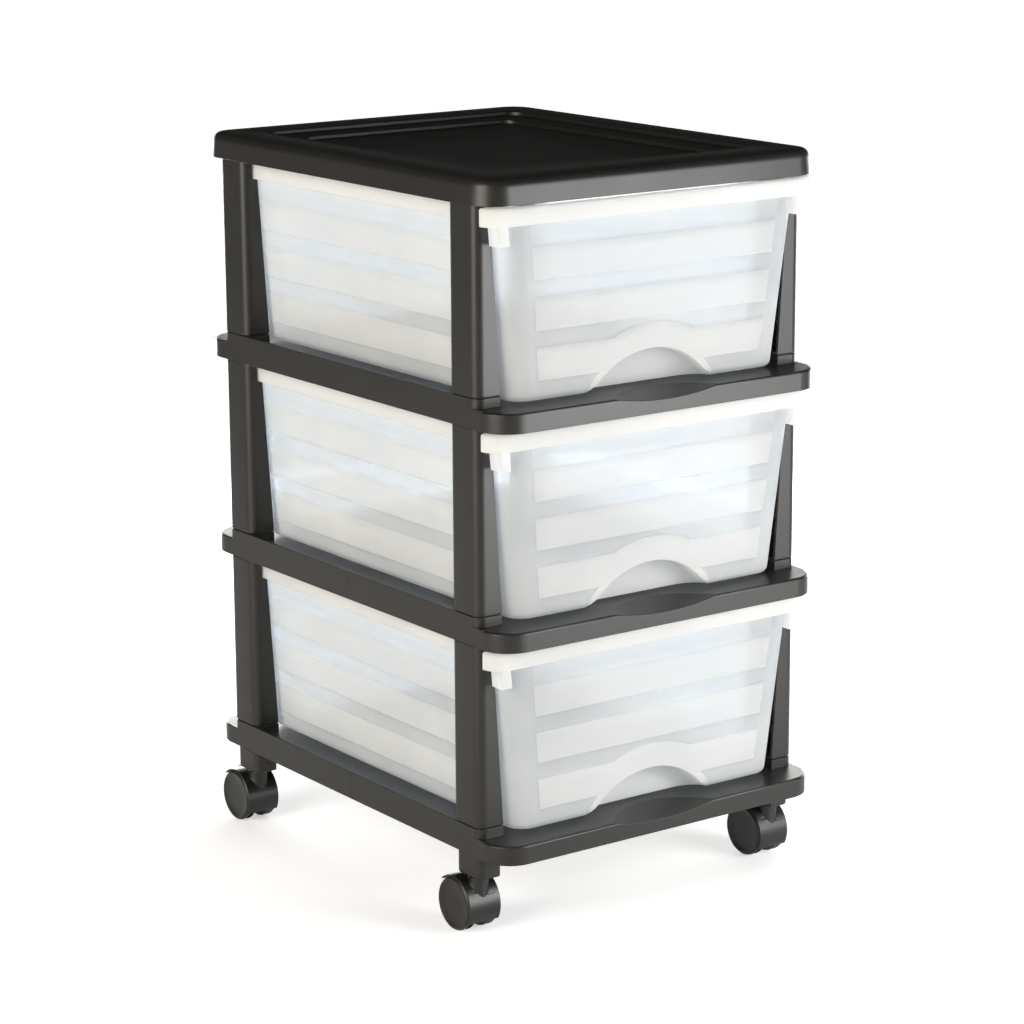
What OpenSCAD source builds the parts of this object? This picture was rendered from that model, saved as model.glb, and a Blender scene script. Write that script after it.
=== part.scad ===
// Plastic drawer tower on four twin-wheel casters.
// Three drawers hang by their rims in notches of twelve tapered posts; shelves and posts stack
// tier on tier under a cover with a stepped tray.
// Frame: +X right, -Y front, +Z up, origin on the floor under the centre of the tower.

/* [Tower] */
// Width across a shelf
tower_w = 290; // [276:1:330]
// Depth of a shelf, front to rear
tower_d = 393; // [380:1:440]
// Height from one shelf to the next
tier_pitch = 155; // [140:1:190]
// Radius of a shelf's corners, seen from above
corner_r = 22; // [18:1:26]

/* [Shelves] */
// Height of a shelf's edge
shelf_h = 14.4; // [13.5:0.1:18]
// Height of the side lips and post collars above the shelf
collar_h = 7; // [6:0.5:9]
// Thickness of the top plates
plate_t = 2.6; // [2:0.1:3.2]
// Thickness of the skirts and lips
skirt_t = 2.4; // [2:0.1:3]
// Thickness of the stiffening ribs
rib_t = 1.6; // [1.2:0.1:2.2]
// Width of the finger scoop where it meets the front edge
scoop_w = 96; // [70:2:120]
// How far the scoop runs back from the front edge
scoop_run = 28; // [20:1:34]
// Depth of the scoop at the front edge
scoop_depth = 5; // [3:0.5:6.5]

/* [Cover] */
// How far the cover stands out past a shelf on each side
cover_out = 4; // [3:0.5:6]
// How far the cover stands back from a shelf at the front and the rear
cover_back = 9.5; // [8:0.5:10]
// Height of the cover
cover_h = 18.5; // [17:0.5:24]
// Run of the cover's rounded upper edge
cover_round = 7; // [5:0.5:8]
// Width of the flat border round the tray
tray_border = 31; // [29:1:36]
// Width of the upper step of the tray
tray_step = 20; // [14:1:28]
// Depth of each of the tray's two steps
tray_depth = 3.5; // [3:0.5:4]

/* [Posts] */
// Width of a post at its foot
post_w = 20.8; // [19.5:0.2:22]
// Width of a post at its head, before the notch
post_head_w = 12.4; // [12:0.2:13.6]
// Depth of a post, front to rear
post_d = 34; // [30:0.2:36]
// Distance from the edge of the shelf to the face of a post
post_set = 28; // [26:0.5:30]
// Radius of the outer corners of a post
post_r = 7; // [6:0.5:10]
// Wall of a post's open channel
post_wall = 2.4; // [2:0.1:2.8]
// Length of the tongues on a post's two ends
tongue_l = 9; // [7:0.5:9]

/* [Drawers] */
// Height of a drawer below the next shelf or cover
drawer_headroom = 1.6; // [1.2:0.1:2.4]
// Gap between a drawer and the shelf under it
drawer_gap = 1.8; // [1.2:0.1:2.4]
// Wall of a drawer
drawer_wall = 2; // [1.6:0.1:2.4]
// Height of the rim
rim_h = 12.6; // [11:0.2:14]
// How far the side rim stands out past the body
rim_out = 4.7; // [4:0.1:5]
// Draft of the drawer's sides, over the height of the body
side_draft = 11.8; // [9:0.2:14]
// Draft of the drawer's front and rear, over the height of the body
end_draft = 7.7; // [5:0.1:10]
// Height of one raised band
band_h = 22.4; // [16:0.2:24]
// Distance from one raised band to the next
band_pitch = 35.5; // [28:0.5:38]
// How far a raised band stands out
band_out = 0.8; // [0.5:0.1:0.9]
// Width of the finger pull at the drawer's bottom edge
pull_w = 105; // [80:1:120]
// Height of the finger pull
pull_h = 27; // [20:1:34]
// Depth of the finger pull
pull_d = 15.5; // [12:0.5:18]
// Run of the finger pull's rolled edge
pull_roll = 17; // [12:0.5:20]

/* [Casters] */
// Diameter of a wheel
wheel_d = 39.6; // [36:0.2:44]
// Width across a pair of wheels
caster_w = 27; // [26:0.5:32]
// Distance from the stem's axis to the axle
trail = 12.6; // [11.5:0.1:14]
// Diameter of the steel stem in its socket
stem_d = 8; // [7:0.5:8]
// Diameter of the stem's journal in the hood
journal_d = 5.6; // [5:0.1:5.6]
// Diameter of the axle
axle_d = 5; // [4:0.1:5.4]
// Height of a caster socket's block under the base
socket_h = 17.5; // [15:0.1:24]

/* [Hidden] */

// Colours
black = "#2e2d2b";
clear_plastic = "#e6edf2";
caster_black = "#1d1d1c";
steel = "#9a9da0";

// Fits
fit = 0.1;            // gap on each side of a tongue in its pocket
running = 0.08;       // radial gap of a turning part
slide_gap = 0.3;      // gap under a rim in its notch
part_gap = 0.3;       // gap between a moving part and its neighbour
press_gap = 0.02;     // radial gap of a pin that is held fast
sink = 0.05;          // how far joined pieces run into each other
fine = 48;            // facets of a true round
hull_fn = 32;         // facets of a hull's own rounds

// Casters, from the floor up
wheel_r = wheel_d / 2;
tread_gap = 0.5;        // between a wheel's tread and the hood
pocket_r = wheel_r + tread_gap;
fender_t = 1.2;
fender_r = pocket_r + fender_t;
web_wall = 1.4;         // wall of the web beside the journal
web_t = journal_d + 2 * web_wall;
wheel_in = web_t / 2 + part_gap;
wheel_t = caster_w / 2 - wheel_in;
boss_wall = 3.3;        // how far the hood's boss stands out past the stem
boss_r = stem_d / 2 + boss_wall;
boss_rise = 0.8;        // height of the boss above the fender
boss_top = wheel_r + fender_r + boss_rise;
flange_t = 1.1;
flange_out = 1.6;       // how far the stem's flange stands out
socket_in = 1.2;        // how far a socket's block stands in from the sides of the post's foot
socket_end = 2;         // how far it stands in from the foot's front and rear
socket_roof = 1.4;      // solid tongue above the stem
socket_z = boss_top + part_gap + flange_t;
stem_in = socket_h + tongue_l - socket_roof;
journal_lift = 7;       // from the axle up to the end of the journal
journal_z = wheel_r + journal_lift;
groove_drop = 5;        // from the top of the stem down to the bottom of its groove
groove_z = socket_z + stem_in - groove_drop;
groove_h = 2;
groove_depth = 0.8;
ring_slit = 1.5;
wheel_face_t = 2;       // a wheel's outer face, past the end of its bore
base_z = socket_z + socket_h;

// Posts
post_y = tower_d / 2 - post_set - post_d / 2;
post_foot = shelf_h + collar_h;
post_h = tier_pitch - post_foot;
pocket_depth = tongue_l + part_gap;
seam_h = 0.9;           // height of the shadow line at a post's foot
seam_in = 0.8;          // how far the foot stands in at that line
foot_tongue_in = 4.4;   // from a post's outer face to its foot tongue
foot_tongue_end = 4.6;  // from a post's front to its tongues
foot_tongue = [post_w - 2 * foot_tongue_in, post_d - 2 * foot_tongue_end];

// Drawers
drawer_z = shelf_h + drawer_gap;
drawer_h = tier_pitch - drawer_z - drawer_headroom;
body_h = drawer_h - rim_h;
notch_z = drawer_z + body_h - slide_gap - post_foot;
taper = (post_w - post_head_w) / post_h;
head_inner = tower_w / 2 - post_w + taper * notch_z;
body_gap = 1.5;         // between a drawer's body and the posts
body_top_w = 2 * (head_inner - body_gap);
body_bottom_w = body_top_w - 2 * side_draft;
rim_w = body_top_w + 2 * rim_out;
rim_gap = 1.1;          // between a side rim and the wall of its notch
notch_wall = (tower_w - rim_w) / 2 - rim_gap;
head_tongue_in = 1.7;   // from a post's outer face to its head tongue
head_tongue = [notch_wall - 2 * head_tongue_in, foot_tongue[1]];
post_front = post_y + post_d / 2;
stop_gap = 3;           // between the stop lugs and the front posts
flange_back = -post_front - stop_gap;
rim_front = -(tower_d / 2 - cover_back);
front_lip = 3;          // how far the rim stands out past the body at the front
body_front = rim_front + front_lip;
rear_lip = 2.4;         // how far the rim stands out past the rear posts
rim_rear = post_front + rear_lip;
body_rear = rim_rear - rim_out;
body_r = 16;
rim_r = body_r + front_lip;
flange_r = 14;
flange_in = 0.5;        // how far the front flange stands in from the shelf's edge
flange_w = tower_w - 2 * flange_in;
stop_w = 9.5;
stop_h = 14;
stop_out = 2.3;         // how far the stop lugs stand out past the side rims
band_z = 15.2;
band_margin = 21;
band_grow = 3.2;        // how much further each band reaches than the one below

// Cover
cover_draft = 1;        // how far the skirt leans in over its height
tray_set = 5;           // how much wider the tray's border is at the front and the rear
tray_r = 14;
tray_r_loss = 2;        // how much smaller the lower step's corner radius is

// Rounded rectangle with true arcs
module rounded(w, d, r) {
    square([w - 2 * r, d], center = true);
    square([w, d - 2 * r], center = true);
    for (sx = [-1, 1], sy = [-1, 1])
        translate([sx * (w / 2 - r), sy * (d / 2 - r)]) circle(r, $fn = fine);
}

// Plate on the rounded rectangle
module plate(w, d, r, h) {
    linear_extrude(h) rounded(w, d, r);
}

// Plan of a post: its outer face lies on x = 0, and it runs to x = -w
module post_plan(w, d, r) {
    translate([-w, -d / 2]) square([w - r, d]);
    translate([-r - sink, -d / 2 + r]) square([r + sink, d - 2 * r]);
    for (s = [-1, 1]) translate([-r, s * (d / 2 - r)]) circle(r, $fn = fine);
}

// Puts children at one corner: side -1 is left, end -1 is front
module at_corner(side, end) {
    mirror([side < 0 ? 1 : 0, 0, 0]) translate([tower_w / 2, end * post_y, 0]) children();
}

// Puts children at all four corners
module at_corners() {
    for (side = [-1, 1], end = [-1, 1]) at_corner(side, end) children();
}

// Block with its near faces on the corner frame: x from -x0-size to -x0, centred on y
module inset_block(x0, size, z0, h) {
    translate([-x0 - size[0], -size[1] / 2, z0]) cube([size[0], size[1], h]);
}

// Finger scoop: a large tilted cylinder that runs out at the back
module scoop() {
    scoop_r = (pow(scoop_w / 2, 2) + pow(scoop_depth, 2)) / (2 * scoop_depth);
    tilt = atan(scoop_depth / scoop_run);
    translate([0, -tower_d / 2, shelf_h - scoop_depth])
        rotate([tilt, 0, 0])
            translate([0, 0, scoop_r])
                rotate([90, 0, 0])
                    cylinder(r = scoop_r, h = 6 * scoop_run, center = true, $fn = 4 * fine);
}

// Ribs under a plate whose underside is at height h
module ribs(w, d, h) {
    rib_z = 3;
    for (i = [-2:2]) translate([i * w / 6 - rib_t / 2, -d / 2 + skirt_t / 2, rib_z])
        cube([rib_t, d - skirt_t, h - rib_z + sink]);
    for (i = [-2:2]) translate([-w / 2 + skirt_t / 2, i * d / 6 - rib_t / 2, rib_z])
        cube([w - skirt_t, rib_t, h - rib_z + sink]);
}

// One shelf, on z = 0. Its underside pockets are as wide as the tongue that enters them
module shelf(under_x0, under_tongue) {
    under = shelf_h - plate_t;
    lip_l = 2 * post_y - post_d + 2 * post_r;   // reaches the flat outer faces of the collars
    pad_h = scoop_depth + 1;
    difference() {
        union() {
            difference() {
                plate(tower_w, tower_d, corner_r, shelf_h);
                translate([0, 0, -1])
                    plate(tower_w - 2 * skirt_t, tower_d - 2 * skirt_t, corner_r - skirt_t, under + 1);
            }
            ribs(tower_w, tower_d, under);
            translate([-scoop_w / 2, -tower_d / 2 + skirt_t / 2, under - pad_h])
                cube([scoop_w, scoop_run + 3, pad_h + sink]);
            at_corners() linear_extrude(shelf_h + collar_h) post_plan(post_w, post_d, post_r);
            for (side = [-1, 1])
                translate([side * (tower_w - skirt_t) / 2, 0, shelf_h + collar_h / 2 - sink])
                    cube([skirt_t, lip_l, collar_h + 2 * sink], center = true);
        }
        scoop();
        at_corners() {
            inset_block(foot_tongue_in - fit, foot_tongue + [2 * fit, 2 * fit],
                        shelf_h + collar_h - pocket_depth, pocket_depth + 1);
            inset_block(under_x0 - fit, under_tongue + [2 * fit, 2 * fit], -1, pocket_depth + 1);
        }
    }
}

module upper_shelf() {
    color(black) translate([0, 0, base_z + 2 * tier_pitch]) shelf(head_tongue_in, head_tongue);
}

module lower_shelf() {
    color(black) translate([0, 0, base_z + tier_pitch]) shelf(head_tongue_in, head_tongue);
}

module base_shelf() {
    color(black) translate([0, 0, base_z]) shelf(foot_tongue_in, foot_tongue);
}

// Cover: a drafted shell with a rounded edge, a stepped tray and four inner bosses
module top_cover() {
    w = tower_w + 2 * cover_out;
    d = tower_d - 2 * cover_back;
    under = cover_h - plate_t;
    top_w = w - 2 * cover_round;
    top_d = d - 2 * cover_round;
    top_r = corner_r - cover_round;
    mid_in = cover_draft + 0.3 * cover_round;
    tray_w = w - 2 * tray_border;
    tray_l = d - 2 * (tray_border + tray_set);
    inner_w = tray_w - 2 * tray_step;
    inner_l = tray_l - 2 * tray_step;
    inner_r = tray_r - tray_r_loss;
    boss_w = notch_wall + 2;
    color(black) translate([0, 0, base_z + 3 * tier_pitch]) difference() {
        union() {
            difference() {
                hull() {
                    plate(w, d, corner_r, sink);
                    translate([0, 0, cover_h - cover_round])
                        plate(w - 2 * cover_draft, d - 2 * cover_draft, corner_r - cover_draft, sink);
                    translate([0, 0, cover_h - 0.3 * cover_round])
                        plate(w - 2 * mid_in, d - 2 * mid_in, corner_r - mid_in, sink);
                    translate([0, 0, cover_h - sink]) plate(top_w, top_d, top_r, sink);
                }
                translate([0, 0, -1])
                    plate(w - 2 * skirt_t - 1, d - 2 * skirt_t - 1, corner_r - skirt_t,
                          under - cover_round * 0.5 + 1);
                plate(top_w - 2 * cover_draft, top_d - 2 * cover_draft, top_r - cover_draft, under);
            }
            translate([0, 0, under - 2 * tray_depth])
                plate(tray_w + 2 * skirt_t, tray_l + 2 * skirt_t, tray_r + skirt_t,
                      2 * tray_depth + sink);
            at_corners()
                linear_extrude(under + sink) post_plan(boss_w, post_d, post_r);
        }
        translate([0, 0, cover_h - tray_depth]) plate(tray_w, tray_l, tray_r, cover_h);
        translate([0, 0, cover_h - 2 * tray_depth]) plate(inner_w, inner_l, inner_r, cover_h);
        translate([0, 0, -1]) plate(inner_w, inner_l, inner_r, under - 2 * tray_depth + 1);
        at_corners()
            inset_block(head_tongue_in - fit, head_tongue + [2 * fit, 2 * fit], -1, pocket_depth + 1);
    }
}

// Everything on the drawer's side of a post's tapered inner face, moved out by shift
module taper_cut(shift) {
    rotate([90, 0, 0]) linear_extrude(2 * post_d, center = true)
        polygon([[-2 * post_w, -tongue_l - 1], [-post_w - shift, -tongue_l - 1], [-post_w - shift, 0],
                 [-post_head_w - shift, post_h], [-2 * post_w, post_h + tongue_l + 1]]);
}

// One post, its foot on z = 0: an open channel with cross ribs, a shadow line round its foot, a notch
// and two tongues
module post_body() {
    rib_count = 4;
    union() {
        difference() {
            translate([0, 0, seam_h]) linear_extrude(post_h - seam_h) post_plan(post_w, post_d, post_r);
            translate([-post_wall, 0, post_wall])
                linear_extrude(notch_z - 2 * post_wall)
                    post_plan(post_w, post_d - 2 * post_wall, post_r - post_wall);
            taper_cut(0);
            translate([-notch_wall - 2 * post_w, -post_d, notch_z])
                cube([2 * post_w, 2 * post_d, post_h]);
        }
        difference() {
            for (i = [1:rib_count]) translate([0, 0, i * notch_z / (rib_count + 1)])
                linear_extrude(rib_t) post_plan(post_w, post_d, post_r);
            taper_cut(-1);
        }
        translate([-seam_in, 0, 0]) linear_extrude(seam_h + sink)
            post_plan(post_w - 2 * seam_in, post_d - 2 * seam_in, post_r - seam_in);
        inset_block(foot_tongue_in, foot_tongue, -tongue_l, tongue_l + sink);
        inset_block(head_tongue_in, head_tongue, post_h - sink, tongue_l + sink);
    }
}

module post(tier, side, end) {
    color(black) translate([0, 0, base_z + tier * tier_pitch + post_foot])
        at_corner(side, end) post_body();
}

// Tapered body of a drawer on z = 0, made smaller by inset on every side
module drawer_body(inset, z0, z1) {
    mid = (body_front + body_rear) / 2;
    top_d = body_rear - body_front;
    edge_r = 4;
    foot_w = body_bottom_w - 2 * inset;
    foot_d = top_d - 2 * end_draft - 2 * inset;
    translate([0, mid, 0]) hull() {
        translate([0, 0, z0]) plate(foot_w - 2 * edge_r, foot_d - 2 * edge_r, body_r - edge_r, sink);
        translate([0, 0, z0 + edge_r * 0.3])
            plate(foot_w - 0.6 * edge_r, foot_d - 0.6 * edge_r, body_r - 0.3 * edge_r, sink);
        translate([0, 0, z0 + edge_r]) plate(foot_w, foot_d, body_r, sink);
        translate([0, 0, z1 - sink])
            plate(body_top_w - 2 * inset, top_d - 2 * inset, body_r, sink);
    }
}

// Boxes that hold the raised bands: front and rear faces, then the two sides
module band_boxes() {
    reach = tower_d;
    for (i = [0:2]) translate([0, 0, band_z + i * band_pitch]) {
        translate([-(body_bottom_w / 2 - band_margin + i * band_grow), -reach / 2, 0])
            cube([body_bottom_w - 2 * (band_margin - i * band_grow), reach, band_h]);
        translate([-reach / 2, body_front + end_draft + band_margin, 0])
            cube([reach, body_rear - body_front - 2 * end_draft - 2 * band_margin, band_h]);
    }
}

// Finger pull: a round arch on the bottom edge of the front, rolled in towards its edge. It is
// grown by extra
module pull(extra) {
    arch_r = (pow(pull_w / 2, 2) + pow(pull_h, 2)) / (2 * pull_h);
    roll_points = [for (a = [0:18:90])
        [arch_r - pull_roll + (pull_roll + extra) * cos(a), (pull_d + extra) * sin(a)]];
    translate([0, body_front + end_draft, pull_h - arch_r]) rotate([-90, 0, 0])
        rotate_extrude($fn = 2 * hull_fn)
            polygon(concat([[0, -pull_d], [arch_r + extra, -pull_d]], roll_points, [[0, pull_d + extra]]));
}

// Plan of the rim, smaller by inset: side rims, and the wide flange in front of the posts
module rim_plan(inset) {
    rim_l = rim_rear - rim_front;
    flange_l = flange_back - rim_front;
    translate([0, (rim_front + rim_rear) / 2])
        rounded(rim_w - 2 * inset, rim_l - 2 * inset, rim_r - inset);
    translate([0, rim_front + flange_l / 2 + flange_r / 2]) intersection() {
        rounded(flange_w - 2 * inset, flange_l + flange_r - 2 * inset, flange_r - inset);
        translate([0, -flange_r / 2]) square([flange_w, flange_l - 2 * inset], center = true);
    }
}

// A whole drawer on z = 0
module drawer_shell() {
    stop_d = flange_back - body_front;
    difference() {
        union() {
            drawer_body(0, 0, body_h + 1);
            intersection() {
                drawer_body(-band_out, 0, body_h + 1);
                band_boxes();
            }
            translate([0, 0, body_h]) difference() {
                linear_extrude(rim_h) rim_plan(0);
                translate([0, 0, -1]) linear_extrude(rim_h - drawer_wall + 1)
                    difference() {
                        rim_plan(drawer_wall);
                        translate([0, (body_front + body_rear) / 2])
                            rounded(body_top_w, body_rear - body_front, body_r);
                    }
            }
            for (side = [-1, 1])
                translate([side * (rim_w / 2 + stop_out - stop_w / 2), flange_back - stop_d / 2,
                           body_h - stop_h / 2])
                    cube([stop_w, stop_d, stop_h + 2 * sink], center = true);
        }
        difference() {
            drawer_body(drawer_wall, drawer_wall, body_h + rim_h + 1);
            pull(drawer_wall);
        }
        pull(0);
    }
}

module drawer(tier) {
    color(clear_plastic, 0.6) translate([0, 0, base_z + tier * tier_pitch + drawer_z]) drawer_shell();
}

// Puts children on a caster's stem axis, on the floor
module at_stem(side, end) {
    translate([side * (tower_w - post_w) / 2, end * post_y, 0]) children();
}

// Cylinder along X, centred on the origin
module lying(h, r) {
    rotate([0, 90, 0]) cylinder(h = h, r = r, center = true, $fn = fine);
}

// Socket block under the base, with a tongue in the base and a blind bore for the stem
module socket(side, end) {
    color(black) at_corner(side, end) difference() {
        union() {
            translate([-socket_in, 0, socket_z]) linear_extrude(socket_h)
                post_plan(post_w - 2 * socket_in, post_d - 2 * socket_end, post_r - socket_in);
            inset_block(foot_tongue_in, foot_tongue, base_z - sink, tongue_l + sink);
        }
        translate([-post_w / 2, 0, socket_z - 1])
            cylinder(d = stem_d + 4 * press_gap, h = stem_in + 1 + part_gap, $fn = fine);
    }
}

// Steel stem: shank in the socket, flange under it, journal in the hood
module stem(side, end) {
    color(steel) at_stem(side, end) difference() {
        union() {
            translate([0, 0, socket_z - flange_t / 2])
                cylinder(d = stem_d, h = stem_in + flange_t / 2, $fn = fine);
            translate([0, 0, socket_z - flange_t])
                cylinder(d = stem_d + 2 * flange_out, h = flange_t, $fn = fine);
            translate([0, 0, journal_z])
                cylinder(d = journal_d, h = socket_z - flange_t / 2 - journal_z, $fn = fine);
        }
        translate([0, 0, groove_z]) rotate_extrude($fn = fine)
            translate([stem_d / 2 - groove_depth, 0]) square([2 * groove_depth, groove_h]);
    }
}

// Split ring in the stem's groove that grips the socket
module grip_ring(side, end) {
    color(steel) at_stem(side, end) translate([0, 0, groove_z + fit]) difference() {
        cylinder(d = stem_d, h = groove_h - 2 * fit, $fn = fine);
        translate([0, 0, -1])
            cylinder(d = stem_d - 2 * (groove_depth - sink), h = groove_h + 2, $fn = fine);
        translate([0, -ring_slit / 2, -1]) cube([stem_d, ring_slit, groove_h + 2]);
    }
}

// Hood: fender over both wheels, web between them and boss round the journal. The polygon is the
// side view of what is open below and behind
module hood(side, end) {
    low = -0.55 * wheel_r;
    back = 1.5 * wheel_r;
    color(caster_black) at_stem(side, end) difference() {
        union() {
            translate([0, trail, wheel_r]) lying(caster_w, fender_r);
            translate([0, 0, wheel_r]) cylinder(r = boss_r, h = boss_top - wheel_r, $fn = fine);
        }
        for (s = [-1, 1])
            translate([s * (web_t / 2 + caster_w), trail, wheel_r]) lying(2 * caster_w, pocket_r);
        translate([0, trail, wheel_r]) rotate([90, 0, 90])
            linear_extrude(2 * caster_w, center = true)
                polygon([[-back, low], [-0.45 * wheel_r, low], [0.3 * wheel_r, -0.4 * wheel_r],
                         [0.42 * wheel_r, 0.3 * wheel_r], [0.7 * wheel_r, 0.78 * wheel_r],
                         [back, 1.6 * wheel_r], [back, -back], [-back, -back]]);
        translate([0, 0, journal_z - part_gap])
            cylinder(d = journal_d + 2 * running, h = boss_top, $fn = fine);
        translate([0, trail, wheel_r]) lying(caster_w, axle_d / 2 + press_gap);
    }
}

module axle(side, end) {
    axle_l = 2 * (wheel_in + wheel_t - wheel_face_t - 2 * fit);
    color(steel) at_stem(side, end) translate([0, trail, wheel_r]) lying(axle_l, axle_d / 2);
}

// One wheel: a closed outer face with a raised rim, a cupped inner side and a blind bore
module wheel(side, end, hand) {
    tread_round = 2.2;
    dish = 0.6;
    face_r = wheel_r - 3;
    cup_r = wheel_r - 3.4;
    cup_l = wheel_t - 2.6;
    hub_r = axle_d / 2 + 2.4;
    bore_l = wheel_t - wheel_face_t;
    color(caster_black) at_stem(side, end) translate([0, trail, wheel_r])
        rotate([0, hand * 90, 0]) translate([0, 0, wheel_in]) rotate_extrude($fn = 2 * fine)
            polygon([[axle_d / 2 + running, 0], [hub_r, 0], [hub_r, cup_l], [cup_r, cup_l], [cup_r, 0],
                     [wheel_r - tread_round, 0], [wheel_r - 0.3 * tread_round, 0.3 * tread_round],
                     [wheel_r, tread_round], [wheel_r, wheel_t - tread_round],
                     [wheel_r - 0.3 * tread_round, wheel_t - 0.3 * tread_round],
                     [wheel_r - tread_round, wheel_t], [face_r, wheel_t],
                     [face_r - dish, wheel_t - dish], [0, wheel_t - dish], [0, bore_l],
                     [axle_d / 2 + running, bore_l]]);
}

top_cover();
upper_shelf();
lower_shelf();
base_shelf();
drawer(2);  // top_drawer
drawer(1);  // middle_drawer
drawer(0);  // bottom_drawer
post(2, -1, -1);  // top_post_front_left
post(2, 1, -1);  // top_post_front_right
post(2, -1, 1);  // top_post_rear_left
post(2, 1, 1);  // top_post_rear_right
post(1, -1, -1);  // middle_post_front_left
post(1, 1, -1);  // middle_post_front_right
post(1, -1, 1);  // middle_post_rear_left
post(1, 1, 1);  // middle_post_rear_right
post(0, -1, -1);  // bottom_post_front_left
post(0, 1, -1);  // bottom_post_front_right
post(0, -1, 1);  // bottom_post_rear_left
post(0, 1, 1);  // bottom_post_rear_right
socket(-1, -1);  // front_left_socket
socket(1, -1);  // front_right_socket
socket(-1, 1);  // rear_left_socket
socket(1, 1);  // rear_right_socket
stem(-1, -1);  // front_left_stem
stem(1, -1);  // front_right_stem
stem(-1, 1);  // rear_left_stem
stem(1, 1);  // rear_right_stem
grip_ring(-1, -1);  // front_left_grip_ring
grip_ring(1, -1);  // front_right_grip_ring
grip_ring(-1, 1);  // rear_left_grip_ring
grip_ring(1, 1);  // rear_right_grip_ring
hood(-1, -1);  // front_left_hood
hood(1, -1);  // front_right_hood
hood(-1, 1);  // rear_left_hood
hood(1, 1);  // rear_right_hood
axle(-1, -1);  // front_left_axle
axle(1, -1);  // front_right_axle
axle(-1, 1);  // rear_left_axle
axle(1, 1);  // rear_right_axle
wheel(-1, -1, -1);  // front_left_wheel_left
wheel(-1, -1, 1);  // front_left_wheel_right
wheel(1, -1, -1);  // front_right_wheel_left
wheel(1, -1, 1);  // front_right_wheel_right
wheel(-1, 1, -1);  // rear_left_wheel_left
wheel(-1, 1, 1);  // rear_left_wheel_right
wheel(1, 1, -1);  // rear_right_wheel_left
wheel(1, 1, 1);  // rear_right_wheel_right
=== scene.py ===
"""Looks of a rolling drawer tower: black moulded frame, three translucent drawers, four twin-wheel casters.

Lengths in the classes are millimetres in the tower's frame: +X right, -Y front, +Z up, origin on the
floor under its centre. A surface is a grid of rings: each row is a ring round the piece, and each
column runs along the piece's profile. Meshes are turned to metres when they are made.
"""

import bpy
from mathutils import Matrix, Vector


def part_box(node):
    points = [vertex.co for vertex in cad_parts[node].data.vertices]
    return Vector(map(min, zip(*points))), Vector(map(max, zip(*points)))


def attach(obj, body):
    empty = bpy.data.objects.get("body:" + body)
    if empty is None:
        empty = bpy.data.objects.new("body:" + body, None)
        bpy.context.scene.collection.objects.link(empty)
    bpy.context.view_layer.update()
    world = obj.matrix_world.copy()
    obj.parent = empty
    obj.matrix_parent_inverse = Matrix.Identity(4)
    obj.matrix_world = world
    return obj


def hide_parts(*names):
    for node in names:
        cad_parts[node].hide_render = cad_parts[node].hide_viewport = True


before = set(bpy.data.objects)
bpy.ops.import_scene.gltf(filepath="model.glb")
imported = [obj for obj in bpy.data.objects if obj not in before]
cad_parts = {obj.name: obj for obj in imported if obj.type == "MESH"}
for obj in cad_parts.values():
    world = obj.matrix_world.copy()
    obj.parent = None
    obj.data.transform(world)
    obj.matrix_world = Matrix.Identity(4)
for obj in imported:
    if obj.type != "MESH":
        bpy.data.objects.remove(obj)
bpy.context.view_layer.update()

import logging
import math
from dataclasses import dataclass, field
from enum import Enum
from typing import Sequence

import bmesh
import bpy
import numpy as np
from mathutils import Matrix, Vector

LOG = logging.getLogger("drawer_tower")
MM = 0.001
WHITE = (1.0, 1.0, 1.0, 1.0)
FRAME_BODY = "frame"
CREASE_ANGLE = math.radians(10)  # edges of a CAD node's copy sharper than this are shaded crisp
BEVEL_ANGLE = math.radians(30)  # edges sharper than this are rounded
BRIM_ANGLE = math.radians(60)  # edges of a shelf's top sharper than this get its wider rounding
Socket, Node = bpy.types.NodeSocket, bpy.types.Node
Material, Object = bpy.types.Material, bpy.types.Object


class Tier(Enum):
    """The three drawers, from the top down."""

    TOP = "top"
    MIDDLE = "middle"
    BOTTOM = "bottom"


class Corner(Enum):
    """The four corners of the tower."""

    FRONT_LEFT = "front_left"
    FRONT_RIGHT = "front_right"
    REAR_LEFT = "rear_left"
    REAR_RIGHT = "rear_right"


class Hand(Enum):
    """The two wheels of a caster, with the side of the hood they run on."""

    LEFT = -1
    RIGHT = 1


class Slot(Enum):
    """The record's material slots of the new pieces; the steel nodes keep theirs."""

    BLACK = "black_plastic"
    CLEAR = "clear_plastic"
    CASTER = "caster_plastic"


# ---------------------------------------------------------------- materials


def linear(hex_colour: str) -> tuple[float, float, float, float]:
    """Turns an sRGB hex colour into the linear values that Blender works in.

    Args:
        hex_colour: Colour such as "#2e2d2b".

    Returns:
        Linear red, green, blue and an alpha of 1.
    """
    values = [int(hex_colour[i : i + 2], 16) / 255 for i in (1, 3, 5)]
    turned = [v / 12.92 if v <= 0.04045 else ((v + 0.055) / 1.055) ** 2.4 for v in values]
    return (*turned, 1.0)


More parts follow.
